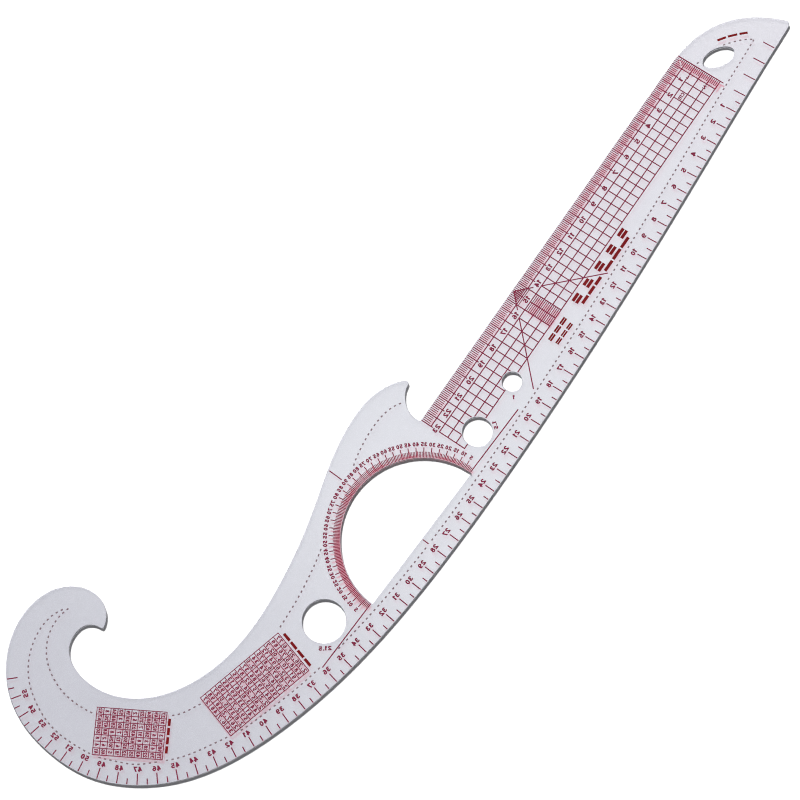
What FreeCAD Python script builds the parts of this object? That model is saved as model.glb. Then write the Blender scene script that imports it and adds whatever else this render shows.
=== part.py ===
import FreeCAD, Part
import math
import os

# A flat acrylic ruler with one straight edge, a long curved edge that ends in a hook, and
# printed scales, a protractor, two tables and dashed inset lines, each a thin film of ink.
# Drawing frame, mm: x runs along the straight edge towards the hook, y runs from the straight
# edge towards the long curved edge, and (0, 0) is the zero corner of the straight scale.
# The sheet stands on z = 0 with the ink on its +Z face, mirrored so that it reads from -Z.
# The written pieces are shifted so that the sheet's outline is centred on x = y = 0.

os.makedirs("parts", exist_ok=True)
Vector = FreeCAD.Vector

# ---------------------------------------------------------------- shared dimensions, mm
SHEET_THICKNESS = 1.5
INK_THICKNESS = 0.04
STRAIGHT_Y = -1.0          # the straight edge lies 1 mm outside the print's zero line
STRAIGHT_START_X = 13.0    # straight part of that edge, from the tip's side
STRAIGHT_END_X = 230.3     # to the notch's side
EDGE_GAP = 0.35            # ink stops this far inside a cut edge
LINE_WIDTH = 0.58          # grid and long ticks
TICK_WIDTH = 0.42          # millimetre ticks
HALF_LINE = LINE_WIDTH / 2

# Round holes: x, y, radius
HOLES = [(188.95, 25.4, 5.0), (219.5, 25.5, 7.5), (338.5, 16.9, 10.75)]

# Oval hanging hole
HANG_X, HANG_Y = -10.6, 17.2
HANG_LONG_RADIUS, HANG_SHORT_RADIUS = 8.6, 4.8
HANG_TILT = -30.0

# Half-disc window, with its arc on the -y side
WINDOW_X, WINDOW_Y = 278.4, 33.2
WINDOW_RADIUS = 40.0
WINDOW_TILT = -2.36

# Protractor printed round the window
PROTRACTOR_X, PROTRACTOR_Y = 278.7, 32.45
PROTRACTOR_TILT = -2.38

# Look-up tables: first corner, tilt of the rows in degrees, cell counts and cell pitches
TABLE_ONE = {"corner": (362.0, 24.6), "tilt": -15.4,
             "columns": 16, "column_pitch": 3.03, "rows": 4, "row_pitch": 5.93}
TABLE_TWO = {"corner": (417.1, -20.4), "tilt": 30.3,
             "columns": 7, "column_pitch": 3.24, "rows": 10, "row_pitch": 3.42}

# ---------------------------------------------------------------- outline points: x, y
# Long curved edge, from the tip corner to the hook's nose
OUTER = [
    (-43.42, 37.80), (-30.43, 38.38), (-17.45, 39.06), (-4.47, 39.80), (8.51, 40.59),
    (21.48, 41.41), (34.45, 42.24), (47.43, 43.06), (60.40, 43.86), (73.38, 44.64),
    (86.36, 45.38), (99.34, 46.07), (112.32, 46.71), (125.31, 47.29), (138.30, 47.81),
    (151.29, 48.27), (164.29, 48.66), (177.28, 48.98), (190.28, 49.23), (203.28, 49.41),
    (216.28, 49.50), (229.28, 49.51), (242.28, 49.41), (255.28, 49.20), (268.27, 48.85),
    (281.26, 48.33), (294.24, 47.60), (307.20, 46.63), (320.14, 45.37), (333.04, 43.76),
    (345.88, 41.72), (358.64, 39.21), (371.28, 36.18), (383.77, 32.60), (396.08, 28.43),
    (408.14, 23.58), (419.81, 17.86), (430.86, 11.02), (440.94, 2.83), (449.70, -6.76),
    (456.90, -17.57), (462.17, -29.43), (464.94, -42.11), (465.23, -55.09), (463.57, -67.97),
    (461.92, -74.26), (459.57, -80.32), (456.44, -86.02), (452.54, -91.21), (447.95, -95.81),
    (442.76, -99.73), (437.09, -102.91), (431.04, -105.28), (424.71, -106.75),
    (418.23, -107.21), (411.77, -106.57), (405.54, -104.71), (399.88, -101.54),
    (395.24, -97.02), (392.10, -91.35), (390.88, -84.99), (391.96, -78.62), (395.66, -73.35),
    (401.30, -70.56)]
# Hollow edge, from the hook's nose to the beak
INNER = [
    (402.76, -71.90), (403.82, -75.73), (406.42, -78.72), (410.14, -80.09), (414.13, -80.10),
    (417.99, -79.08), (421.34, -76.94), (423.88, -73.87), (425.66, -70.29), (426.81, -66.46),
    (427.43, -62.51), (427.58, -58.52), (425.50, -46.99), (420.10, -36.59), (412.26, -27.86),
    (402.73, -20.99), (392.13, -15.93), (380.90, -12.49), (369.30, -10.58), (357.56, -10.00),
    (345.81, -10.48), (334.12, -11.69), (322.49, -13.42), (310.94, -15.64), (299.50, -18.38),
    (288.17, -21.52), (276.84, -24.67), (265.37, -27.24), (253.72, -28.85), (241.97, -29.09),
    (230.44, -26.95), (220.20, -21.33)]
# Notch between the beak and the straight edge
NOTCH = [
    (219.35, -16.45), (222.00, -15.75), (224.50, -14.40), (226.70, -12.60), (228.60, -10.40),
    (230.00, -8.00), (230.80, -5.50), (231.05, -3.20), (230.90, -1.55)]
# Convex edge of the tip, from the straight edge round to the tip corner
TIP = [
    (1.01, -0.72), (-5.94, 0.07), (-12.75, 1.63), (-19.30, 4.07), (-25.43, 7.41),
    (-31.00, 11.63), (-35.89, 16.63), (-40.00, 22.27), (-43.35, 28.41), (-45.95, 34.70)]


# ---------------------------------------------------------------- the sheet
def spline(points):
    curve = Part.BSplineCurve()
    curve.interpolate([Vector(x, y, 0) for x, y in points])
    return curve.toShape()


def start_tangent(edge):
    return edge.tangentAt(edge.FirstParameter).normalize()


def end_tangent(edge):
    return edge.tangentAt(edge.LastParameter).normalize()


def blend(start, start_direction, end, end_direction, fullness=0.36):
    """A cubic that leaves start along one direction and arrives at end along the other."""
    start, end = Vector(*start, 0), Vector(*end, 0)
    reach = (end - start).Length * fullness
    curve = Part.BezierCurve()
    curve.setPoles([start, start + start_direction * reach, end - end_direction * reach, end])
    return curve.toShape()


def stretches(edge, count):
    """One long edge as several shorter ones that follow each other without a corner."""
    cuts = [edge.getParameterByLength(edge.Length * i / count) for i in range(count + 1)]
    pieces = []
    for first, last in zip(cuts, cuts[1:]):
        piece = edge.Curve.copy()
        piece.segment(first, last)
        pieces.append(piece.toShape())
    return pieces


def outline_wire(outer):
    """Splines for the long runs, with blends tangent to them at every joint."""
    inner, notch, tip = spline(INNER), spline(NOTCH), spline(TIP)
    to_tip = Vector(-1, 0, 0)
    straight_end = (STRAIGHT_END_X, STRAIGHT_Y)
    straight_start = (STRAIGHT_START_X, STRAIGHT_Y)
    nose = blend(OUTER[-1], end_tangent(outer), INNER[0], start_tangent(inner), 0.5)
    beak = blend(INNER[-1], end_tangent(inner), NOTCH[0], start_tangent(notch), 0.62)
    heel = blend(NOTCH[-1], end_tangent(notch), straight_end, to_tip, 0.4)
    straight = Part.makeLine(Vector(*straight_end, 0), Vector(*straight_start, 0))
    run_in = blend(straight_start, to_tip, TIP[0], start_tangent(tip))
    tip_corner = blend(TIP[-1], end_tangent(tip), OUTER[0], start_tangent(outer), 0.5)
    return Part.Wire(stretches(outer, 8) + [nose] + stretches(inner, 4)
                     + [beak, notch, heel, straight, run_in, tip, tip_corner])


def window_wire():
    tilt = math.radians(WINDOW_TILT)
    centre = Vector(WINDOW_X, WINDOW_Y, 0)
    along = Vector(math.cos(tilt), math.sin(tilt), 0) * WINDOW_RADIUS
    outward = Vector(math.sin(tilt), -math.cos(tilt), 0) * WINDOW_RADIUS
    left, right = centre - along, centre + along
    arc = Part.Arc(left, centre + outward, right).toShape()
    return Part.Wire([arc, Part.makeLine(right, left)])


def hanging_wire():
    centre = Vector(HANG_X, HANG_Y, 0)
    oval = Part.Wire([Part.Ellipse(centre, HANG_LONG_RADIUS, HANG_SHORT_RADIUS).toShape()])
    oval.rotate(centre, Vector(0, 0, 1), HANG_TILT)
    return oval


def blade_sheet():
    rounds = [Part.Wire([Part.makeCircle(radius, Vector(x, y, 0))]) for x, y, radius in HOLES]
    face = Part.makeFace([outline, window_wire(), hanging_wire()] + rounds,
                         "Part::FaceMakerBullseye")
    return [face.extrude(Vector(0, 0, SHEET_THICKNESS))]


outer_edge = spline(OUTER)
outline = outline_wire(outer_edge)


# ---------------------------------------------------------------- ink helpers
def shifted(point, direction, distance):
    return (point[0] + direction[0] * distance, point[1] + direction[1] * distance)


def closed_wire(points):
    corners = [Vector(x, y, SHEET_THICKNESS) for x, y in points]
    return Part.makePolygon(corners + [corners[0]])


def flat(points):
    return Part.Face(closed_wire(points))


def inked(face):
    """A flat face on the sheet as a solid film."""
    solid = face.extrude(Vector(0, 0, INK_THICKNESS)).Solids[0]
    if solid.Volume < 0:
        solid.reverse()
    return solid


def film(outer, openings=()):
    """One patch of ink: a closed outline with any openings."""
    if not openings:
        return inked(flat(outer))
    wires = [closed_wire(points) for points in [outer, *openings]]
    return inked(Part.makeFace(wires, "Part::FaceMakerBullseye"))


def bar_points(start, end, width):
    run_x, run_y = end[0] - start[0], end[1] - start[1]
    length = math.hypot(run_x, run_y)
    side = (-run_y / length, run_x / length)
    half = width / 2
    return [shifted(start, side, half), shifted(end, side, half),
            shifted(end, side, -half), shifted(start, side, -half)]


def bar(start, end, width):
    return film(bar_points(start, end, width))


def disc(x, y, radius, sides=48):
    angles = [2 * math.pi * i / sides for i in range(sides)]
    return flat([(x + radius * math.cos(angle), y + radius * math.sin(angle))
                 for angle in angles])


# ---------------------------------------------------------------- numerals
def glyph(char, detail):
    """Outline, openings and width of a character about 1 high, with its foot on y = 0.
    detail scales the number of segments in its curves."""
    def arc(x, y, radius_x, radius_y, start, end, segments):
        count = max(2, int(round(segments * detail)))
        angles = [math.radians(start + (end - start) * i / count) for i in range(count + 1)]
        return [(x + radius_x * math.cos(angle), y + radius_y * math.sin(angle))
                for angle in angles]

    def loop(x, y, radius_x, radius_y, segments):
        return arc(x, y, radius_x, radius_y, 0, 360, segments)[:-1]

    if char == "0":
        return loop(0.30, 0.50, 0.30, 0.50, 20), [loop(0.30, 0.50, 0.13, 0.33, 14)], 0.60
    if char == "1":
        return [(0.17, 0), (0.35, 0), (0.35, 1), (0.21, 1), (0.0, 0.83), (0.0, 0.66),
                (0.17, 0.77)], [], 0.35
    if char == "2":
        return (arc(0.30, 0.70, 0.30, 0.30, 168, -35, 10)
                + [(0.24, 0.17), (0.60, 0.17), (0.60, 0), (0, 0), (0, 0.14)]
                + arc(0.30, 0.70, 0.13, 0.13, -35, 168, 6)), [], 0.60
    if char == "3":
        return (arc(0.29, 0.735, 0.265, 0.265, 165, -47, 10)
                + arc(0.29, 0.30, 0.30, 0.30, 53, -165, 10)[1:]
                + arc(0.29, 0.30, 0.14, 0.14, -165, 90, 6)
                + [(0.20, 0.44), (0.20, 0.61)]
                + arc(0.29, 0.735, 0.11, 0.115, -90, 165, 6)), [], 0.59
    if char == "4":
        return ([(0.30, 1), (0.50, 1), (0.50, 0.38), (0.60, 0.38), (0.60, 0.22), (0.50, 0.22),
                 (0.50, 0), (0.33, 0), (0.33, 0.22), (0, 0.22), (0, 0.38)],
                [[(0.17, 0.38), (0.33, 0.38), (0.33, 0.70)]], 0.60)
    if char == "5":
        return ([(0.07, 1), (0.56, 1), (0.56, 0.84), (0.22, 0.84), (0.20, 0.62)]
                + arc(0.29, 0.31, 0.31, 0.31, 84, -155, 11)
                + arc(0.29, 0.31, 0.14, 0.15, -155, 125, 8) + [(0.04, 0.47)]), [], 0.60
    if char in "69":
        outer = (arc(0.31, 0.50, 0.31, 0.50, 52, 270, 13)
                 + arc(0.31, 0.31, 0.30, 0.31, -80, 112, 9)
                 + arc(0.31, 0.50, 0.145, 0.345, 149, 52, 5))
        opening = loop(0.31, 0.30, 0.135, 0.145, 12)
        if char == "9":    # a six turned half round
            outer = [(0.61 - x, 1 - y) for x, y in outer]
            opening = [(0.61 - x, 1 - y) for x, y in opening]
        return outer, [opening], 0.61
    if char == "7":
        return [(0, 1), (0.58, 1), (0.58, 0.86), (0.29, 0), (0.10, 0), (0.39, 0.83),
                (0, 0.83)], [], 0.58
    if char == "8":
        return (arc(0.30, 0.745, 0.255, 0.255, -49.7, 229.7, 14)
                + arc(0.30, 0.30, 0.30, 0.30, 123.4, 416.6, 14)[1:-1],
                [loop(0.30, 0.745, 0.095, 0.10, 10), loop(0.30, 0.30, 0.135, 0.14, 12)], 0.60)
    if char == ".":
        return [(0, 0), (0.18, 0), (0.18, 0.18), (0, 0.18)], [], 0.18
    if char == "c":
        return (arc(0.32, 0.36, 0.32, 0.36, 48, 312, 12)
                + arc(0.32, 0.36, 0.15, 0.19, 312, 48, 8)), [], 0.54
    if char == "m":
        return ([(0, 0), (0.16, 0), (0.16, 0.50), (0.22, 0.56), (0.31, 0.56), (0.36, 0.50),
                 (0.36, 0), (0.52, 0), (0.52, 0.50), (0.58, 0.56), (0.67, 0.56), (0.72, 0.50),
                 (0.72, 0), (0.88, 0), (0.88, 0.58), (0.76, 0.72), (0.58, 0.72), (0.46, 0.64),
                 (0.36, 0.72), (0.20, 0.72), (0.15, 0.66), (0.15, 0.72), (0, 0.72)], [], 0.88)
    raise ValueError(char)


def grown(points, distance):
    """A closed outline moved outwards by distance, or inwards if it is negative."""
    following = points[1:] + points[:1]
    area = sum(p[0] * q[1] - q[0] * p[1] for p, q in zip(points, following))
    signed = distance if area > 0 else -distance
    moved = []
    for before, point, after in zip(points[-1:] + points[:-1], points, following):
        mitre_x = mitre_y = 0.0
        for start, end in ((before, point), (point, after)):
            run_x, run_y = end[0] - start[0], end[1] - start[1]
            length = math.hypot(run_x, run_y)
            mitre_x += run_y / length
            mitre_y -= run_x / length
        size = math.hypot(mitre_x, mitre_y)
        reach = signed / max(0.6, size / 2)    # the limit keeps sharp corners short
        moved.append(shifted(point, (mitre_x / size, mitre_y / size), reach))
    return moved


def label(text, centre, up, height, bold, wide=1.0, gap=0.2, detail=1.0):
    """Glyphs side by side, centred on a point and mirrored so that they read from -Z.
    bold thickens every stroke by that much on each side, and wide stretches them sideways."""
    size = math.hypot(*up)
    up = (up[0] / size, up[1] / size)
    right = (-up[1], up[0])
    drawn = [glyph(char, detail) for char in text]
    pen = -(sum(width for _, _, width in drawn) + gap * (len(text) - 1)) / 2

    def place(points):
        return [shifted(shifted(centre, right, height * (pen + x) * wide),
                        up, height * (y - 0.5)) for x, y in points]

    films = []
    for char, (outer, openings, width) in zip(text, drawn):
        if bold > 0.05 * height and char == "4":    # a bold four fills its own opening
            openings = []
        films.append(film(grown(place(outer), bold),
                          [grown(place(opening), -bold) for opening in openings]))
        pen += width + gap
    return films


# ---------------------------------------------------------------- curved edge scale
CM_ARC = 10.0            # one centimetre along the curved edge
CURVED_CM = 56           # length of the scale
CURVED_CM_BEFORE = 3     # centimetre ticks before its zero
CURVED_ZERO = 43.25      # distance along the edge from the tip corner to its zero


def edge_point(distance):
    """Point and inward direction on the curved edge, at a distance from the tip corner."""
    parameter = outer_edge.getParameterByLength(distance)
    point, tangent = outer_edge.valueAt(parameter), outer_edge.tangentAt(parameter)
    return (point.x, point.y), (tangent.y, -tangent.x)


def curved_scale_ticks():
    ticks = []
    for half in range(-2 * CURVED_CM_BEFORE, 2 * CURVED_CM + 1):
        if half < 0 and half % 2:
            continue
        if half <= 0:
            depth = 6.9
        elif half % 2:
            depth = 3.2
        else:
            depth = 5.6
        point, inward = edge_point(CURVED_ZERO + half * CM_ARC / 2)
        ticks.append(bar(shifted(point, inward, EDGE_GAP), shifted(point, inward, depth),
                         LINE_WIDTH))
    return ticks


def curved_scale_numerals():
    numerals = []
    for i in range(1, CURVED_CM):
        point, inward = edge_point(CURVED_ZERO + i * CM_ARC)
        numerals += label(str(i), shifted(point, inward, 7.65), inward, height=2.25,
                          bold=0.13, wide=1.5 if i < 10 else 1.22)
    return numerals


# ---------------------------------------------------------------- straight scale
GRID = 5.0                                # grid pitch
GRID_COLUMNS, GRID_ROWS = 46, 5
GRID_END_X, GRID_END_Y = GRID * GRID_COLUMNS, GRID * GRID_ROWS
MIDDLE_X = 150.0                          # where the 45 degree lines meet
INK_START_Y = STRAIGHT_Y + EDGE_GAP
NUMERAL_GAP_Y = (6.1, 9.75)               # break in the centimetre lines for the numerals
# Grid rows broken for the end scale's numerals: row, then x where the line resumes
BROKEN_ROWS = {2: 8.65, 4: 8.6}
BREAK_START_X = 5.8
# 45 degree lines from the middle, each broken where it passes a numeral: start, end
DIAGONALS = [((150.3, 0.3), (157.1, 7.1)), ((159.8, 9.8), (186.3, 36.3)),
             ((149.7, 0.3), (142.9, 7.1)), ((140.2, 9.8), (116.3, 33.7))]
# Close lines both ways that fill the triangle under the 45 degree lines
TRIANGLE_ROWS_Y = (0.9, 1.55, 2.2, 2.85, 3.5, 4.15)
TRIANGLE_HALF = 4                         # millimetre lines on each side of the middle
TRIANGLE_TOP_Y = 4.2


def tick_end(i):
    """Far end of millimetre tick i, shorter near the zero corner."""
    return min(3.75, i - 0.3)


def straight_scale_grid():
    """The grid, diagonals and marked triangle fused, less the area of two round holes."""
    top = GRID_END_Y + HALF_LINE
    lines = []
    for i in range(1, GRID_COLUMNS + 1):
        if i % 2:
            runs = [(INK_START_Y, top)]
        else:
            runs = [(INK_START_Y, NUMERAL_GAP_Y[0]), (NUMERAL_GAP_Y[1], top)]
        lines += [((GRID * i, start), (GRID * i, end), LINE_WIDTH) for start, end in runs]
    for i in range(1, GRID_ROWS + 1):
        runs = [(GRID, GRID_END_X)]
        if i in BROKEN_ROWS:
            runs = [(GRID, BREAK_START_X), (BROKEN_ROWS[i], GRID_END_X)]
        lines += [((start - HALF_LINE, GRID * i), (end + HALF_LINE, GRID * i), LINE_WIDTH)
                  for start, end in runs]
    lines += [(start, end, LINE_WIDTH) for start, end in DIAGONALS]
    for y in TRIANGLE_ROWS_Y:
        lines.append(((MIDDLE_X - y - 0.1, y), (MIDDLE_X + y + 0.1, y), TICK_WIDTH))
    for i in range(-TRIANGLE_HALF, TRIANGLE_HALF + 1):
        if i:
            x = MIDDLE_X + i
            lines.append(((x, INK_START_Y), (x, TRIANGLE_TOP_Y), TICK_WIDTH))
    faces = [flat(bar_points(*line)) for line in lines]
    clearings = [disc(x, y, radius + EDGE_GAP) for x, y, radius in HOLES[:2]]
    whole = faces[0].multiFuse(faces[1:]).cut(clearings).removeSplitter()
    return [inked(face) for face in whole.Faces]


def straight_scale_ticks():
    return [bar((i, INK_START_Y), (i, tick_end(i)), TICK_WIDTH)
            for i in range(1, int(GRID_END_X))
            if i % 5 and abs(i - MIDDLE_X) > TRIANGLE_HALF]


def straight_scale_numerals():
    numerals = []
    for i in range(1, 24):
        x = 10.0 * i - (0.6 if i == 23 else 0.0)    # the last one keeps inside the edge
        numerals += label(str(i), (x, 7.75), (0, -1), height=2.3, bold=0.13,
                          wide=1.6 if i < 10 else 1.26, gap=0.22)
    return numerals + label("cm", (17.45, 12.6), (0, -1), height=2.5, bold=0.05, gap=0.16)


def end_scale_ticks():
    """The short scale across the tip's end of the grid: its zero line and ticks."""
    ticks = [bar((0, INK_START_Y + 0.1), (0, 26.9), LINE_WIDTH)]
    for i in range(1, int(GRID_END_Y) + 1):
        if i % 5 == 0:
            ticks.append(bar((HALF_LINE, i), (GRID - HALF_LINE, i), LINE_WIDTH))
        else:
            ticks.append(bar((HALF_LINE, i), (tick_end(i), i), TICK_WIDTH))
    return ticks


def end_scale_numerals():
    return (label("1", (7.2, 10.0), (1, 0), height=1.85, bold=0.10, wide=1.5)
            + label("2", (7.2, 20.0), (1, 0), height=1.8, bold=0.10, wide=1.45))


def centre_ladder():
    """Millimetre rungs in the two grid columns beside the middle line."""
    rungs = []
    for i in range(6, int(GRID_END_Y)):
        if i % 5 == 0 or 7 <= i <= 9:
            continue
        for left in (MIDDLE_X - GRID, MIDDLE_X):
            rungs.append(bar((left + HALF_LINE, i), (left + GRID - HALF_LINE, i), TICK_WIDTH))
    return rungs


# ---------------------------------------------------------------- protractor
DEGREE_RADIUS, FIVE_DEGREE_RADIUS, DEGREE_TEXT_RADIUS = 43.0, 45.1, 46.75


def protractor_direction(angle):
    """Direction at an angle in degrees: 0 towards -x, 90 towards -y, 180 towards +x."""
    turn = math.radians(180 + angle + PROTRACTOR_TILT)
    return math.cos(turn), math.sin(turn)


def protractor_point(angle, radius):
    return shifted((PROTRACTOR_X, PROTRACTOR_Y), protractor_direction(angle), radius)


def window_ink_radius(angle):
    """Radius at which ink may start, just outside the window's curved edge."""
    along_x, along_y = protractor_direction(angle)
    off_x, off_y = PROTRACTOR_X - WINDOW_X, PROTRACTOR_Y - WINDOW_Y
    lead = off_x * along_x + off_y * along_y
    root = math.sqrt(lead ** 2 - (off_x ** 2 + off_y ** 2) + WINDOW_RADIUS ** 2)
    return root - lead + EDGE_GAP


def protractor_ticks():
    ticks = []
    for i in range(1, 180):
        radius, width = (DEGREE_RADIUS, 0.40) if i % 5 else (FIVE_DEGREE_RADIUS, 0.50)
        ticks.append(bar(protractor_point(i, window_ink_radius(i)),
                         protractor_point(i, radius), width))
    return ticks


def protractor_numerals():
    """Numerals every five degrees, which rise to 90 and fall again."""
    numerals = []
    for i in range(5, 180, 5):
        numerals += label(str(min(i, 180 - i)), protractor_point(i, DEGREE_TEXT_RADIUS),
                          protractor_direction(i), height=1.9, bold=0.11, wide=1.12,
                          detail=0.8)
    return numerals


def protractor_base_line():
    """The base line on both sides of the window, and two marks square to it."""
    # angle, start radius, end radius
    marks = [(0, window_ink_radius(0), 79.8), (180, window_ink_radius(180), 78.6),
             (90, 48.6, 56.4), (270, 1.25, 4.9)]
    return [bar(protractor_point(angle, start), protractor_point(angle, end), LINE_WIDTH)
            for angle, start, end in marks]


# ---------------------------------------------------------------- look-up tables
RULE_WIDTH = 0.42


def table_point(table, along, down):
    """A point measured from a table's first corner, along its rows and down its columns."""
    tilt = math.radians(table["tilt"])
    start = shifted(table["corner"], (math.cos(tilt), math.sin(tilt)), along)
    return shifted(start, (math.sin(tilt), -math.cos(tilt)), down)


def table_rules(table):
    """The ruled frame as one film with an opening for each cell."""
    half = RULE_WIDTH / 2
    wide, deep = table["column_pitch"], table["row_pitch"]

    def box(left, right, top, bottom):
        return [table_point(table, left, top), table_point(table, right, top),
                table_point(table, right, bottom), table_point(table, left, bottom)]

    cells = [box(i * wide + half, (i + 1) * wide - half, j * deep + half, (j + 1) * deep - half)
             for i in range(table["columns"]) for j in range(table["rows"])]
    return [film(box(-half, table["columns"] * wide + half,
                     -half, table["rows"] * deep + half), cells)]


def table_numbers(table, seed, text_of, up, **style):
    """A stand-in number in each cell, from a fixed sequence that starts at seed."""
    numbers = []
    value = seed
    for i in range(table["columns"]):
        for j in range(table["rows"]):
            value = (value * 37 + 11) % 1009
            centre = table_point(table, (i + 0.5) * table["column_pitch"],
                                 (j + 0.5) * table["row_pitch"])
            numbers += label(text_of(value), centre, up, bold=0.08, detail=0.55, **style)
    return numbers


def table_one_numbers():
    def text_of(value):
        return str(10 + value % 89) if value % 4 else "%d.%d" % (2 + value % 7, value % 9)

    tilt = math.radians(TABLE_ONE["tilt"])
    return table_numbers(TABLE_ONE, 5, text_of, (-math.cos(tilt), -math.sin(tilt)),
                         height=1.9, wide=1.22, gap=0.34)


def table_two_numbers():
    def text_of(value):
        return str(10 + value % 89 if (value // 3) % 4 else 2 + value % 7)

    tilt = math.radians(TABLE_TWO["tilt"])
    return table_numbers(TABLE_TWO, 17, text_of, (-math.sin(tilt), math.cos(tilt)),
                         height=1.75, gap=0.16)


# ---------------------------------------------------------------- dashed inset lines
DASH_LENGTH, DASH_WIDTH, DASH_PITCH = 1.15, 0.72, 2.77
HANG_CLEARANCE, HOLE_CLEARANCE, TABLE_CLEARANCE = 0.45, 0.4, 0.5

# Paths that the dashes follow: x, y
OUTER_PATHS = [
    [(-1.6, 10.0), (-5.2, 10.6), (-8.0, 11.2), (-12.0, 12.6), (-15.5, 14.3), (-20.0, 17.5),
     (-24.3, 21.3), (-28.1, 26.2)],
    [(-28.3, 26.9), (-19.1, 27.5), (-7.5, 28.1), (6.5, 28.9), (25.0, 30.2), (50.0, 32.0),
     (75.0, 33.5), (100.0, 34.8), (130.0, 36.2), (160.0, 37.3), (190.0, 38.0), (230.0, 38.4),
     (260.0, 38.15), (282.0, 37.3), (298.6, 36.2), (318.0, 34.3), (341.3, 31.0),
     (360.8, 27.6), (380.0, 22.4), (393.0, 18.2), (403.5, 14.3), (412.0, 9.6), (420.0, 4.9),
     (431.0, -2.6), (440.7, -12.3), (446.1, -18.8), (449.8, -26.6), (453.0, -34.5),
     (454.9, -45.5), (455.3, -53.5), (454.0, -65.0), (450.0, -75.2), (443.8, -84.5),
     (435.0, -91.5), (424.7, -95.3), (413.5, -95.5), (406.0, -92.4)]]
INNER_PATHS = [
    [(228.6, -14.0), (231.1, -15.6), (236.4, -17.6), (244.8, -18.5), (250.5, -18.4),
     (256.0, -17.8), (261.7, -16.9), (267.6, -15.4)],
    [(310.4, -4.8), (318.8, -2.8), (326.9, -1.4), (335.0, -0.3), (345.0, 0.5), (353.0, 0.9)],
    [(404.7, -9.3), (409.4, -11.8), (414.1, -14.7), (417.0, -17.5)],
    [(438.0, -50.3), (438.9, -58.5), (438.3, -67.0), (434.6, -77.6), (427.6, -86.3),
     (417.8, -91.2), (409.5, -91.7), (404.0, -90.4)]]


def in_hanging_hole(x, y):
    tilt = math.radians(HANG_TILT)
    off_x, off_y = x - HANG_X, y - HANG_Y
    along = off_x * math.cos(tilt) + off_y * math.sin(tilt)
    across = -off_x * math.sin(tilt) + off_y * math.cos(tilt)
    return math.hypot(along / (HANG_LONG_RADIUS + HANG_CLEARANCE),
                      across / (HANG_SHORT_RADIUS + HANG_CLEARANCE)) < 1


def in_table(x, y, table):
    tilt = math.radians(table["tilt"])
    off_x, off_y = x - table["corner"][0], y - table["corner"][1]
    along = off_x * math.cos(tilt) + off_y * math.sin(tilt)
    down = off_x * math.sin(tilt) - off_y * math.cos(tilt)
    length = table["columns"] * table["column_pitch"]
    depth = table["rows"] * table["row_pitch"]
    return (-TABLE_CLEARANCE < along < length + TABLE_CLEARANCE
            and -TABLE_CLEARANCE < down < depth + TABLE_CLEARANCE)


def clear_of_print(point):
    x, y = point
    if in_hanging_hole(x, y) or in_table(x, y, TABLE_ONE) or in_table(x, y, TABLE_TWO):
        return False
    if any(math.hypot(x - hole_x, y - hole_y) < radius + HOLE_CLEARANCE
           for hole_x, hole_y, radius in HOLES):
        return False
    # the protractor's centre mark, then the +x end of its base line
    if abs(x - 278.9) < 0.7 and 30 < y < 38.2:
        return False
    base_y = PROTRACTOR_Y + math.tan(math.radians(PROTRACTOR_TILT)) * (x - PROTRACTOR_X)
    return not (abs(y - base_y) < 0.3 and 315 < x < 359)


def dashes(paths):
    films = []
    for path in paths:
        edge = spline(path)
        count = int(edge.Length / DASH_PITCH)
        step = (edge.Length - DASH_LENGTH) / count
        for i in range(count + 1):
            stations = (i * step, min(i * step + DASH_LENGTH, edge.Length))
            start, end = [edge.valueAt(edge.getParameterByLength(s)) for s in stations]
            corners = bar_points((start.x, start.y), (end.x, end.y), DASH_WIDTH)
            middle = ((start.x + end.x) / 2, (start.y + end.y) / 2)
            if all(clear_of_print(point) for point in corners + [middle]):
                films.append(film(corners))
    return films


# ---------------------------------------------------------------- hole sizes
# One label for each round hole: text, centre
HOLE_LABELS = [("1", (195.0, 30.55)), ("1.5", (211.85, 30.85)), ("21.5", (348.9, 24.9))]


def hole_size_numerals():
    """Labels whose upward direction points at their hole."""
    numerals = []
    for (text, centre), (x, y, _) in zip(HOLE_LABELS, HOLES):
        numerals += label(text, centre, (x - centre[0], y - centre[1]), height=1.9,
                          bold=0.12, wide=1.3, gap=0.24)
    return numerals


# ---------------------------------------------------------------- plain title bars
# The main title: five blocks of two bars each
BLOCKS_X = (94.9, 105.1, 115.5, 125.7, 135.5)
DIAGONAL_BLOCK_X = 125.7      # the block beside a 45 degree line
BLOCK_ROWS_Y = (27.3, 29.35)
BLOCK_HALF, BLOCK_BAR_WIDTH = 2.45, 1.62
DIAGONAL_CLEARANCE = 1.36     # measured along x

# Runs of bars: start, end, bars, gap, height, strips in a bar, inked share of a strip's pitch
BAR_RUNS = [
    # the line beside the main title
    ((95.0, 31.95), (116.1, 31.95), 3, 0.8, 1.7, 1, 0.95),
    ((119.8, 31.95), (136.4, 31.95), 3, 0.8, 1.7, 1, 0.95),
    # two short lines about the middle of the straight scale
    ((147.2, 29.1), (161.2, 29.0), 3, 0.9, 2.3, 2, 0.84),
    ((147.9, 33.2), (160.7, 32.9), 3, 0.9, 2.1, 2, 0.80),
    # the short arc by the hanging hole
    ((-29.9, 22.2), (-27.0, 19.1), 1, 0, 1.25, 1, 0.95),
    ((-26.2, 18.3), (-22.6, 15.0), 1, 0, 1.25, 1, 0.95),
    ((-21.8, 14.4), (-17.9, 11.7), 1, 0, 1.25, 1, 0.95),
    # beside the first column of table one, and along the first row of table two
    (table_point(TABLE_ONE, -1.95, 1.2), table_point(TABLE_ONE, -1.95, 21.6),
     4, 0.9, 1.5, 1, 0.95),
    (table_point(TABLE_TWO, 3.0, -1.6), table_point(TABLE_TWO, 19.6, -1.6),
     4, 0.9, 1.4, 1, 0.95)]


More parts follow.
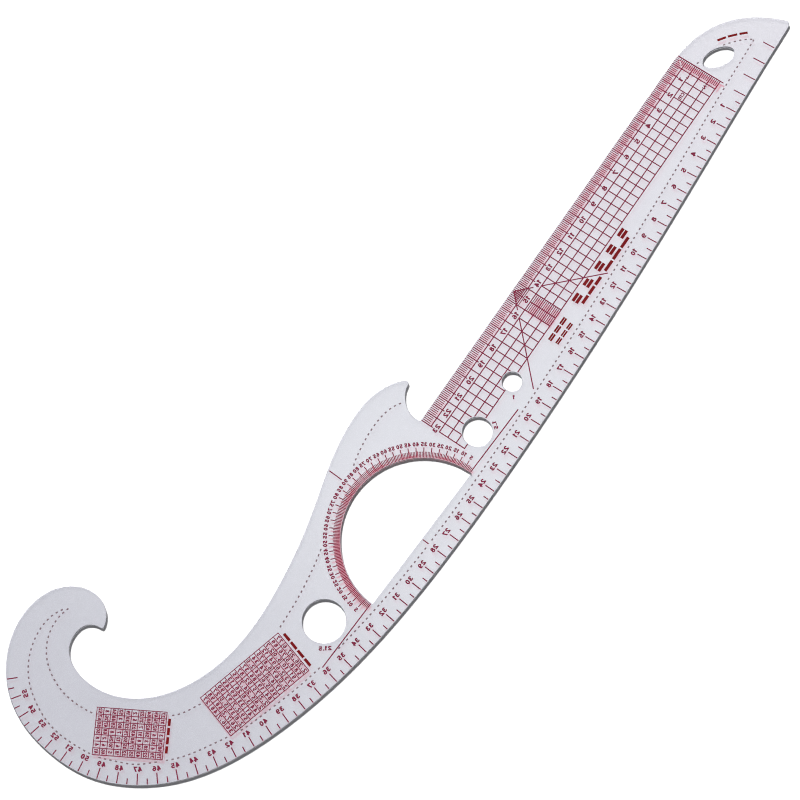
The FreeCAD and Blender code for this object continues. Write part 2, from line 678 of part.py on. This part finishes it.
def bar_run(start, end, count, gap, height, strips, fill):
    """Equal plain bars along a line, each made of parallel strips."""
    run_x, run_y = end[0] - start[0], end[1] - start[1]
    total = math.hypot(run_x, run_y)
    along, across = (run_x / total, run_y / total), (-run_y / total, run_x / total)
    length = (total - gap * (count - 1)) / count
    pitch = height / strips
    bars = []
    for i in range(count):
        for j in range(strips):
            line_start = shifted(start, across, -height / 2 + pitch * (j + 0.5))
            first = shifted(line_start, along, i * (length + gap))
            bars.append(bar(first, shifted(first, along, length), pitch * fill))
    return bars


def title_bars():
    bars = []
    for x in BLOCKS_X:
        for y in BLOCK_ROWS_Y:
            first = x - BLOCK_HALF
            if x == DIAGONAL_BLOCK_X:
                first = max(first, MIDDLE_X - y + DIAGONAL_CLEARANCE)
            bars.append(bar((first, y), (x + BLOCK_HALF, y), BLOCK_BAR_WIDTH))
    for run in BAR_RUNS:
        bars += bar_run(*run)
    return bars


# ---------------------------------------------------------------- write the pieces
PIECES = {
    "blade_sheet": blade_sheet(),
    "ink_curved_scale_ticks": curved_scale_ticks(),
    "ink_curved_scale_numerals": curved_scale_numerals(),
    "ink_straight_scale_mm_ticks": straight_scale_ticks(),
    "ink_straight_scale_grid": straight_scale_grid(),
    "ink_straight_scale_numerals": straight_scale_numerals(),
    "ink_end_scale_ticks": end_scale_ticks(),
    "ink_end_scale_numerals": end_scale_numerals(),
    "ink_centre_ladder": centre_ladder(),
    "ink_protractor_ticks": protractor_ticks(),
    "ink_protractor_numerals": protractor_numerals(),
    "ink_protractor_base_line": protractor_base_line(),
    "ink_outer_dashed_line": dashes(OUTER_PATHS),
    "ink_inner_dashed_line": dashes(INNER_PATHS),
    "ink_table_one_rules": table_rules(TABLE_ONE),
    "ink_table_one_numbers": table_one_numbers(),
    "ink_table_two_rules": table_rules(TABLE_TWO),
    "ink_table_two_numbers": table_two_numbers(),
    "ink_hole_size_numerals": hole_size_numerals(),
    "ink_plain_title_bars": title_bars(),
}


def middle(values):
    return round((min(values) + max(values)) / 2, 3)


rim_points = [point for edge in outline.Edges for point in edge.discretize(800)]
to_centre = Vector(-middle([point.x for point in rim_points]),
                   -middle([point.y for point in rim_points]), 0)

for name, solids in PIECES.items():
    moved = []
    for solid in solids:
        solid = solid.copy()
        solid.translate(to_centre)
        moved.append(solid)
    shape = moved[0] if len(moved) == 1 else Part.makeCompound(moved)
    shape.exportStep("parts/%s.step" % name)
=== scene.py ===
"""A clear acrylic sheet screen-printed with crimson scales, tables and bars, on a pale floor.

The sheet lies flat in the XY plane, its underside at LO.z and its top face at HI.z, and the
print rides with it. The key light stands towards -X and -Y. The camera looks down from above.
"""
import math

import bmesh
import bpy
from mathutils import Matrix, Vector
from mathutils.geometry import delaunay_2d_cdt


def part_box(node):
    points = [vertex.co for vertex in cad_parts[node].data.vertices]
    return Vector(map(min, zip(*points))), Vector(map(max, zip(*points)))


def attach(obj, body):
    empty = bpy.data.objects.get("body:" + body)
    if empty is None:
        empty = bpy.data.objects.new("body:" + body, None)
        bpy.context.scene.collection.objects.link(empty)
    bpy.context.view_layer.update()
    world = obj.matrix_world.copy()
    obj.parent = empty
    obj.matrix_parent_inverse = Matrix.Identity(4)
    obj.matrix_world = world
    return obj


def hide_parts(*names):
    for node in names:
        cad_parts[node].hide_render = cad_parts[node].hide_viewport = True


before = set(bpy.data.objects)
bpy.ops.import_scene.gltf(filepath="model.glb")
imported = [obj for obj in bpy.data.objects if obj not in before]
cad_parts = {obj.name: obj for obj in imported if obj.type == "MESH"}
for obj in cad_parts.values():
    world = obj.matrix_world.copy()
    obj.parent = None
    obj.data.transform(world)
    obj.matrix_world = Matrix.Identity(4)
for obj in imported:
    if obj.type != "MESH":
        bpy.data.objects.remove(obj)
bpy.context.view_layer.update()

MM = 0.001
SHEET = "blade_sheet"
LO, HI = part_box(SHEET)
THICKNESS = HI.z - LO.z

RIM = 0.12 * MM                 # radius of the rounded rim along every cut edge
RIM_STEPS = 4
CURVE_STEP = 0.7 * MM           # longest piece of a filled-in curve
LONG_RUN = 15 * MM              # an outline segment above this may be a straight run
RUN_RATIO = 4                   # and is one if this many times longer than both neighbours
CORNER_TURN = math.radians(35)
FLAT_TURN = math.radians(0.15)  # tangents this close to the chord need no extra points

FLOOR_HALF = 6.0
FLOOR_GAP = 0.12 * MM           # between the floor and the underside of the sheet

TO_LIGHT = Vector((-0.57, -0.82, 0.0)).normalized()   # level direction of the key light
LIGHT_HEIGHT = math.radians(47.5)
ACRYLIC_IOR = 1.49
WHITE = (1.0, 1.0, 1.0)


# ------------------------------------------------------------------ node trees
class Tree:
    """A material or world node tree, with short calls for the nodes used here."""

    def __init__(self, owner):
        owner.use_nodes = True
        self.nt = owner.node_tree
        self.nt.nodes.clear()
        self.count = 0

    def add(self, kind, inputs=None, **settings):
        node = self.nt.nodes.new(kind)
        self.count += 1
        node.location = (180 * (self.count % 12), -220 * (self.count // 12))
        for key, value in settings.items():
            setattr(node, key, value)
        for key, value in (inputs or {}).items():
            self.put(node.inputs[key], value)
        return node

    def put(self, socket, value):
        """Link a socket or node to the input, or set its value. Colours get an alpha of 1."""
        if isinstance(value, bpy.types.NodeSocket):
            self.nt.links.new(value, socket)
        elif isinstance(value, bpy.types.Node):
            self.nt.links.new(value.outputs[0], socket)
        elif isinstance(value, tuple) and len(value) == 3 and len(socket.default_value) == 4:
            socket.default_value = (*value, 1.0)
        else:
            socket.default_value = value

    def object_place(self):
        return self.add("ShaderNodeTexCoord").outputs["Object"]

    def ray(self, kind):
        return self.add("ShaderNodeLightPath").outputs[f"Is {kind} Ray"]

    def math(self, operation, *values, clamp=False):
        inputs = dict(enumerate(values))
        return self.add("ShaderNodeMath", inputs, operation=operation, use_clamp=clamp).outputs[0]

    def ramp(self, value, span, to=(0.0, 1.0), smooth=False):
        """Map the span of the value onto another range, clamped at its ends."""
        inputs = {"Value": value, "From Min": span[0], "From Max": span[1],
                  "To Min": to[0], "To Max": to[1]}
        kind = "SMOOTHSTEP" if smooth else "LINEAR"
        node = self.add("ShaderNodeMapRange", inputs, interpolation_type=kind)
        return node.outputs["Result"]

    def blend(self, factor, a, b):
        """Mix two colours."""
        return self.add("ShaderNodeMix", {0: factor, 6: a, 7: b}, data_type="RGBA").outputs[2]

    def noise(self, vector, scale, detail=3.0, rough=0.5):
        inputs = {"Vector": vector, "Scale": scale, "Detail": detail, "Roughness": rough}
        return self.add("ShaderNodeTexNoise", inputs).outputs["Fac"]

    def bump(self, strength, distance, height):
        inputs = {"Strength": strength, "Distance": distance, "Height": height}
        return self.add("ShaderNodeBump", inputs).outputs[0]

    def clear(self, colour):
        return self.add("ShaderNodeBsdfTransparent", {"Color": colour})

    def mix(self, factor, a, b):
        """Mix two shaders."""
        return self.add("ShaderNodeMixShader", {0: factor, 1: a, 2: b}).outputs[0]

    def finish(self, shader, kind="ShaderNodeOutputMaterial"):
        self.add(kind, {"Surface": shader})

    def finish_for_lamp(self, seen, lamp_tint):
        """Shadow rays pass through with the lamp tint. All other rays meet the seen shader."""
        self.finish(self.mix(self.ray("Shadow"), seen, self.clear(lamp_tint)))


def material(name):
    made = bpy.data.materials.new(name)
    made.use_backface_culling = False
    return made, Tree(made)


# ------------------------------------------------------------------ materials
def glossed(t, body, roughness, bump, fresnel, backfacing):
    """The body under a white gloss that shows only where a ray meets the outside."""
    gloss = t.add("ShaderNodeBsdfGlossy", {"Color": WHITE, "Roughness": roughness, "Normal": bump})
    front = t.math("SUBTRACT", 1.0, backfacing)
    return t.mix(t.math("MULTIPLY", fresnel, front), body, gloss)


def acrylic_face():
    """Polished faces: clear, a little milky and lavender, with scratches and smudges. The milkiness
    is a painted glow, and painted shade darkens the tint along +X.
    """
    made, t = material("cast_acrylic_face")
    at = t.object_place()
    backfacing = t.add("ShaderNodeNewGeometry").outputs["Backfacing"]

    # painted shade: the tint darkens along +X, standing in for light falling off along the sheet,
    # with a cloudy border
    x = t.add("ShaderNodeSeparateXYZ", {0: at}).outputs[0]
    cloud = t.math("MULTIPLY", t.math("SUBTRACT", t.noise(at, scale=14.0), 0.5), 0.10)
    painted_falloff = t.math("ADD", t.ramp(x, span=(0.040, 0.250), smooth=True), cloud, clamp=True)
    low_x_falloff_tint = t.blend(t.ramp(x, span=(LO.x, 0.0)), (0.812, 0.808, 0.827), (0.798, 0.803, 0.820))
    clear = t.clear(t.blend(painted_falloff, low_x_falloff_tint, (0.706, 0.708, 0.734)))

    # painted glow: an emission stands in for the milky haze lit by the lamp
    painted_haze_glow = t.add("ShaderNodeEmission", {"Color": (0.93, 0.93, 1.0), "Strength": 1.05})
    smudge = t.noise(at, scale=42.0, detail=5.0, rough=0.6)
    body = t.mix(t.ramp(smudge, span=(0.3, 0.75), to=(0.047, 0.055)), clear, painted_haze_glow)

    # hairline scratches: long thin streaks in two directions
    streaks = []
    for angle, scale in ((0.97, 1.0), (0.55, 0.7)):
        turned = t.add("ShaderNodeMapping", {"Vector": at, "Rotation": (0, 0, angle),
                                             "Scale": (60 * scale, 4200 * scale, 1)})
        line = t.noise(turned.outputs[0], scale=1.0, detail=2.0)
        streaks.append(t.ramp(line, span=(0.66, 0.74)))
    scratch = t.math("MAXIMUM", *streaks)

    # both the wiped smudges and the scratches dull the gloss
    wiped = t.ramp(t.noise(at, scale=18.0, detail=4.0, rough=0.55), span=(0.35, 0.7))
    roughness = t.math("ADD", t.ramp(wiped, span=(0.0, 1.0), to=(0.06, 0.11)),
                       t.math("MULTIPLY", scratch, 0.10))
    height = t.math("SUBTRACT", t.noise(at, scale=60.0, detail=2.0),
                    t.math("MULTIPLY", scratch, 0.5))
    bump = t.bump(strength=0.05, distance=0.02 * MM, height=height)
    fresnel = t.add("ShaderNodeFresnel", {"IOR": ACRYLIC_IOR})
    seen = glossed(t, body, roughness, bump, fresnel, backfacing)
    # the light let through to the floor dims along +X with the same painted shade
    t.finish_for_lamp(seen, t.blend(painted_falloff, (0.948, 0.948, 0.960), (0.938, 0.939, 0.952)))
    return made


def acrylic_cut():
    """The cut wall and its rims: painted shade darkens the side turned from the lamp, and that side
    casts a shadow.
    """
    made, t = material("cast_acrylic_cut_edge")
    at = t.object_place()
    geometry = t.add("ShaderNodeNewGeometry")
    backfacing = geometry.outputs["Backfacing"]

    # 0 where the wall faces the lamp, 1 where it is turned away
    sign = t.math("MULTIPLY_ADD", backfacing, -2.0, 1.0)
    outward = t.add("ShaderNodeVectorMath", {0: geometry.outputs["True Normal"], "Scale": sign},
                    operation="SCALE").outputs[0]
    lit = t.add("ShaderNodeVectorMath", {0: outward, 1: tuple(TO_LIGHT)},
                operation="DOT_PRODUCT").outputs["Value"]
    away = t.ramp(lit, span=(0.25, -0.25), smooth=True)

    # saw marks: fine upright striations
    marks = t.add("ShaderNodeMapping", {"Vector": at, "Scale": (2600, 2600, 160)})
    saw = t.noise(marks.outputs[0], scale=1.0, rough=0.6)

    # painted shade: the colours seen on the wall are darker, and more of the dark frost is mixed
    # in, where it is turned from the lamp
    clear = t.clear(t.blend(away, (0.80, 0.80, 0.84), (0.30, 0.31, 0.34)))
    dull = t.blend(away, (0.60, 0.61, 0.67), (0.16, 0.165, 0.18))
    bright = t.blend(away, (0.72, 0.73, 0.78), (0.24, 0.245, 0.26))
    frost_and_shade_colour = t.blend(t.ramp(saw, span=(0.3, 0.7)), dull, bright)
    frost = t.add("ShaderNodeBsdfDiffuse", {"Color": frost_and_shade_colour})
    body = t.mix(t.ramp(away, span=(0.0, 1.0), to=(0.22, 0.55)), clear, frost)

    bump = t.bump(strength=0.35, distance=0.03 * MM, height=saw)
    roughness = t.ramp(saw, span=(0.3, 0.7), to=(0.12, 0.3))
    fresnel = t.add("ShaderNodeFresnel", {"IOR": ACRYLIC_IOR, "Normal": bump})
    seen = glossed(t, body, roughness, bump, fresnel, backfacing)
    t.finish_for_lamp(seen, t.blend(away, (0.84, 0.84, 0.86), (0.03, 0.03, 0.034)))
    return made


def screen_ink(name, colour, lamp_tint, specular):
    """Cured screen ink: matt and slightly mottled. Its lamp tint colours the shadow below."""
    made, t = material(name)
    at = t.object_place()
    mottle = t.noise(at, scale=5200.0, rough=0.6)
    broad = t.noise(at, scale=55.0)
    red, green, blue = colour
    deep = (red * 0.80, green * 0.80, blue * 0.85)
    pale = (red * 1.22, green * 1.6 + 0.006, blue * 1.45 + 0.006)
    shade = t.math("ADD", t.math("MULTIPLY", mottle, 0.65), t.math("MULTIPLY", broad, 0.35))
    grain = t.noise(at, scale=3600.0, detail=4.0, rough=0.6)
    ink = t.add("ShaderNodeBsdfPrincipled", {
        "Base Color": t.blend(t.ramp(shade, span=(0.36, 0.64)), deep, pale),
        "Roughness": t.ramp(mottle, span=(0.3, 0.7), to=(0.46, 0.62)),
        "IOR": 1.45,
        "Specular IOR Level": specular,
        "Normal": t.bump(strength=0.25, distance=0.012 * MM, height=grain),
    })
    t.finish_for_lamp(ink, lamp_tint)
    return made


def paper_floor():
    made, t = material("pale_floor")
    grain = t.noise(t.object_place(), scale=380.0, detail=4.0, rough=0.6)
    tone = t.blend(t.ramp(grain, span=(0.3, 0.7)), (0.905, 0.905, 0.905), (0.925, 0.925, 0.925))
    t.finish(t.add("ShaderNodeBsdfDiffuse", {"Color": tone}))
    return made


# ------------------------------------------------------------------ outlines of the sheet
def signed_area(loop):
    """Positive for a loop that runs counterclockwise seen from above."""
    return 0.5 * sum(p[0] * q[1] - q[0] * p[1] for p, q in zip(loop, loop[1:] + loop[:1]))


def sheet_loops(node):
    """The outlines of the top face, largest first, as (x, y) with the material on the left."""
    bm = bmesh.new()
    bm.from_mesh(node.data)
    bmesh.ops.remove_doubles(bm, verts=bm.verts, dist=1e-6)
    bm.normal_update()
    neighbours = {}
    for edge in bm.edges:
        if len(edge.link_faces) != 2 or any(v.co.z < HI.z - 1e-5 for v in edge.verts):
            continue
        flat = [abs(face.normal.z) > 0.9 for face in edge.link_faces]
        if flat[0] != flat[1]:
            a, b = edge.verts
            neighbours.setdefault(a.index, []).append(b.index)
            neighbours.setdefault(b.index, []).append(a.index)
    bm.verts.ensure_lookup_table()
    place = {i: (bm.verts[i].co.x, bm.verts[i].co.y) for i in neighbours}
    bm.free()

    loops, used = [], set()
    for start in sorted(neighbours):
        if start in used:
            continue
        loop, previous, current = [], None, start
        while current is not None and current not in used:
            used.add(current)
            loop.append(place[current])
            onward = [n for n in neighbours[current] if n != previous and n not in used]
            previous, current = current, (onward[0] if onward else None)
        loops.append(loop)
    loops.sort(key=lambda loop: -abs(signed_area(loop)))
    # the outer outline runs counterclockwise and the holes clockwise
    signs = [1] + [-1] * (len(loops) - 1)
    return [loop if signed_area(loop) * sign > 0 else loop[::-1]
            for loop, sign in zip(loops, signs)]


def mirrored(chord, tangent):
    """The tangent at the other end of a chord, as on an arc."""
    return (2 * chord.dot(tangent) * chord - tangent).normalized()


def hermite(start, start_slope, end, end_slope, u):
    """The point at u, from 0 to 1, on a cubic through two points with given end slopes."""
    return (start * (2 * u ** 3 - 3 * u ** 2 + 1) + start_slope * (u ** 3 - 2 * u ** 2 + u)
            + end * (-2 * u ** 3 + 3 * u ** 2) + end_slope * (u ** 3 - u ** 2))


def smooth_loop(loop):
    """The outline with its round stretches filled in. Corners and straight runs stay."""
    n = len(loop)
    points = [Vector(p) for p in loop]
    chords = [points[(i + 1) % n] - points[i] for i in range(n)]
    length = [chord.length for chord in chords]
    unit = [chord / size for chord, size in zip(chords, length)]
    straight = [length[i] > LONG_RUN
                and length[i] > RUN_RATIO * max(length[i - 1], length[(i + 1) % n])
                for i in range(n)]
    corner = [abs(unit[i - 1].angle_signed(unit[i])) > CORNER_TURN for i in range(n)]

    # tangents at each point, on its two sides
    arrive, leave = [None] * n, [None] * n
    for i in range(n):
        if corner[i]:
            continue
        if straight[i - 1]:
            tangent = unit[i - 1]
        elif straight[i]:
            tangent = unit[i]
        else:
            tangent = (unit[i - 1] * length[i] + unit[i] * length[i - 1]).normalized()
        arrive[i] = leave[i] = tangent
    # at a corner each side mirrors the tangent at its chord's far end
    for i in range(n):
        if corner[i]:
            before, after = i - 1, (i + 1) % n
            plain_out = straight[i] or length[i] > LONG_RUN or arrive[after] is None
            plain_in = straight[before] or length[before] > LONG_RUN or leave[before] is None
            leave[i] = unit[i] if plain_out else mirrored(unit[i], arrive[after])
            arrive[i] = unit[before] if plain_in else mirrored(unit[before], leave[before])

    filled = []
    for i in range(n):
        after = (i + 1) % n
        filled.append(points[i])
        bend = abs(leave[i].angle_signed(unit[i])) + abs(arrive[after].angle_signed(unit[i]))
        if straight[i] or bend < FLAT_TURN:
            continue
        parts = max(1, math.ceil(length[i] / CURVE_STEP))
        for part in range(1, parts):
            filled.append(hermite(points[i], leave[i] * length[i],
                                  points[after], arrive[after] * length[i], part / parts))
    return filled


# ------------------------------------------------------------------ the sheet
def rim_profile():
    """(outward offset, height above the underside) up the wall, with both rims rounded."""
    angles = [math.pi / 2 * i / RIM_STEPS for i in range(RIM_STEPS + 1)]
    lower = [(-RIM + RIM * math.sin(a), RIM - RIM * math.cos(a)) for a in angles]
    return lower + [(offset, THICKNESS - z) for offset, z in reversed(lower)]


def add_wall(bm, points, profile):
    """Sweep the profile round one outline. Returns its lowest and highest rings of vertices."""
    n = len(points)
    rings = [[] for _ in profile]
    for i, point in enumerate(points):
        before = (point - points[i - 1]).normalized()
        after = (points[(i + 1) % n] - point).normalized()
        # outward normals: the material is on the left
        normal_before = Vector((before.y, -before.x))
        normal_after = Vector((after.y, -after.x))
        mitre = (normal_before + normal_after).normalized()
        stretch = 1.0 / max(0.5, mitre.dot(normal_before))
        for ring, (offset, z) in zip(rings, profile):
            place = point + mitre * (offset * stretch)
            ring.append(bm.verts.new((place.x, place.y, LO.z + z)))
    for low, high in zip(rings, rings[1:]):
        for i in range(n):
            k = (i + 1) % n
            face = bm.faces.new((low[i], low[k], high[k], high[i]))
            face.smooth = True
            face.material_index = 1
    return rings[0], rings[-1]


def inside(rings, x, y):
    """True within the outer ring and outside the holes, by counting crossings."""
    odd = False
    for ring in rings:
        for (x0, y0), (x1, y1) in zip(ring, ring[1:] + ring[:1]):
            if (y0 > y) != (y1 > y) and x < x0 + (y - y0) * (x1 - x0) / (y1 - y0):
                odd = not odd
    return odd


def add_cap(bm, rings, up):
    """Fill one flat face between its rings. The triangulation works in millimetres."""
    verts = [v for ring in rings for v in ring]
    flat_rings = [[(v.co.x * 1000, v.co.y * 1000) for v in ring] for ring in rings]
    edges, start = [], 0
    for ring in rings:
        count = len(ring)
        edges += [(start + i, start + (i + 1) % count) for i in range(count)]
        start += count
    flat = [Vector(p) for ring in flat_rings for p in ring]
    places, _, triangles, origins, _, _ = delaunay_2d_cdt(flat, edges, [], 0, 1e-7)
    for triangle in triangles:
        centre = (places[triangle[0]] + places[triangle[1]] + places[triangle[2]]) / 3
        if not inside(flat_rings, centre.x, centre.y):
            continue
        order = [verts[origins[i][0]] for i in triangle]
        face = bm.faces.new(order if up else order[::-1])
        face.smooth = False
        face.material_index = 0


def build_sheet():
    """One closed shell: two flat faces, upright walls and rounded rims along every cut edge."""
    bm = bmesh.new()
    profile = rim_profile()
    ends = [add_wall(bm, smooth_loop(loop), profile)
            for loop in sheet_loops(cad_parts[SHEET])]
    add_cap(bm, [low for low, _ in ends], up=False)
    add_cap(bm, [high for _, high in ends], up=True)
    bmesh.ops.recalc_face_normals(bm, faces=bm.faces)
    mesh = bpy.data.meshes.new("blade_sheet_finished")
    bm.to_mesh(mesh)
    bm.free()
    mesh.set_sharp_from_angle(angle=math.radians(40))
    for polygon in mesh.polygons:
        if polygon.material_index == 0:
            polygon.use_smooth = False
    made = bpy.data.objects.new("blade_sheet_finished", mesh)
    bpy.context.scene.collection.objects.link(made)
    return made


sheet = build_sheet()
sheet.data.materials.append(acrylic_face())
sheet.data.materials.append(acrylic_cut())
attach(sheet, "root")
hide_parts(SHEET)

# ------------------------------------------------------------------ the print
# the ink of every piece that INKS doesn't list
plain_ink = screen_ink("crimson_screen_ink", (0.160, 0.0085, 0.032), (0.98, 0.88, 0.90), 0.12)

# material name, colour, lamp tint, specular level, printed pieces
INKS = [
    ("crimson_screen_ink_close_ticks", (0.168, 0.0085, 0.030), (0.95, 0.45, 0.54), 0.12,
     ("ink_straight_scale_mm_ticks", "ink_end_scale_ticks", "ink_centre_ladder")),
    ("crimson_screen_ink_ring", (0.166, 0.0080, 0.028), (0.95, 0.34, 0.44), 0.12,
     ("ink_protractor_ticks",)),
    ("crimson_screen_ink_tables", (0.155, 0.0085, 0.030), (0.96, 0.60, 0.66), 0.12,
     ("ink_table_one_rules", "ink_table_one_numbers",
      "ink_table_two_rules", "ink_table_two_numbers")),
    ("crimson_screen_ink_bars", (0.146, 0.0025, 0.0045), (0.98, 0.88, 0.90), 0.05,
     ("ink_plain_title_bars",)),
    ("mauve_screen_ink_dashes", (0.165, 0.092, 0.108), (0.93, 0.86, 0.88), 0.20,
     ("ink_outer_dashed_line", "ink_inner_dashed_line")),
]
ink_of = {}
for ink_name, colour, lamp_tint, specular, pieces in INKS:
    ink_of.update(dict.fromkeys(pieces, screen_ink(ink_name, colour, lamp_tint, specular)))
for name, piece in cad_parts.items():
    if name != SHEET:
        for slot in piece.material_slots:
            slot.material = ink_of.get(name, plain_ink)


# ------------------------------------------------------------------ floor, light, camera
def add_floor():
    mesh = bpy.data.meshes.new("floor")
    corners = [(x * FLOOR_HALF, y * FLOOR_HALF, 0) for x, y in ((-1, -1), (1, -1), (1, 1), (-1, 1))]
    mesh.from_pydata(corners, [], [(0, 1, 2, 3)])
    floor = bpy.data.objects.new("floor", mesh)
    floor.location = (0, 0, LO.z - FLOOR_GAP)
    mesh.materials.append(paper_floor())
    bpy.context.scene.collection.objects.link(floor)


def add_key_light():
    sun = bpy.data.lights.new("key", "SUN")
    sun.energy = 4.8
    sun.angle = math.radians(9.0)
    sun.color = (1.0, 0.998, 0.995)
    key = bpy.data.objects.new("key", sun)
    level = math.cos(LIGHT_HEIGHT)
    towards = Vector((TO_LIGHT.x * level, TO_LIGHT.y * level, math.sin(LIGHT_HEIGHT)))
    key.rotation_mode = "QUATERNION"
    key.rotation_quaternion = towards.to_track_quat("Z", "Y")
    bpy.context.scene.collection.objects.link(key)


def add_world():
    """White to the camera, a bright dome in reflections and a dim fill for all else."""
    world = bpy.data.worlds.new("studio")
    bpy.context.scene.world = world
    t = Tree(world)
    direction = t.add("ShaderNodeTexCoord").outputs["Generated"]
    up = t.add("ShaderNodeSeparateXYZ", {0: direction}).outputs[2]
    dome = t.blend(t.ramp(up, span=(0.0, 0.9), smooth=True), (0.72, 0.72, 0.74), WHITE)
    lit = t.blend(t.ray("Glossy"), (0.125, 0.125, 0.130), dome)
    seen = t.blend(t.ray("Camera"), lit, WHITE)
    background = t.add("ShaderNodeBackground", {"Color": seen, "Strength": 1.0})
    t.finish(background, "ShaderNodeOutputWorld")


def add_camera():
    lens = bpy.data.cameras.new("camera")
    lens.sensor_width = 36.0
    lens.lens = 95.609
    lens.clip_start = 0.01
    lens.clip_end = 50.0
    camera = bpy.data.objects.new("camera", lens)
    # the camera's own axes in the scene, and its place
    right = (-0.5694545548, 0.8190277638, -0.0701072898)
    up = (-0.8070860761, -0.5408855780, 0.2367590699)
    back = (0.1559922296, 0.1914061482, 0.9690356602)
    place = (0.18189, 0.21465, 1.02001)
    camera.matrix_world = Matrix((*zip(right, up, back, place), (0, 0, 0, 1)))
    bpy.context.scene.collection.objects.link(camera)
    bpy.context.scene.camera = camera


add_floor()
add_key_light()
add_world()
add_camera()

scene = bpy.context.scene
scene.view_settings.view_transform = "Standard"
scene.view_settings.look = "None"
scene.cycles.transparent_max_bounces = 24
scene.cycles.filter_width = 1.1
scene.cycles.denoising_prefilter = "NONE"          # keeps the fine print crisp
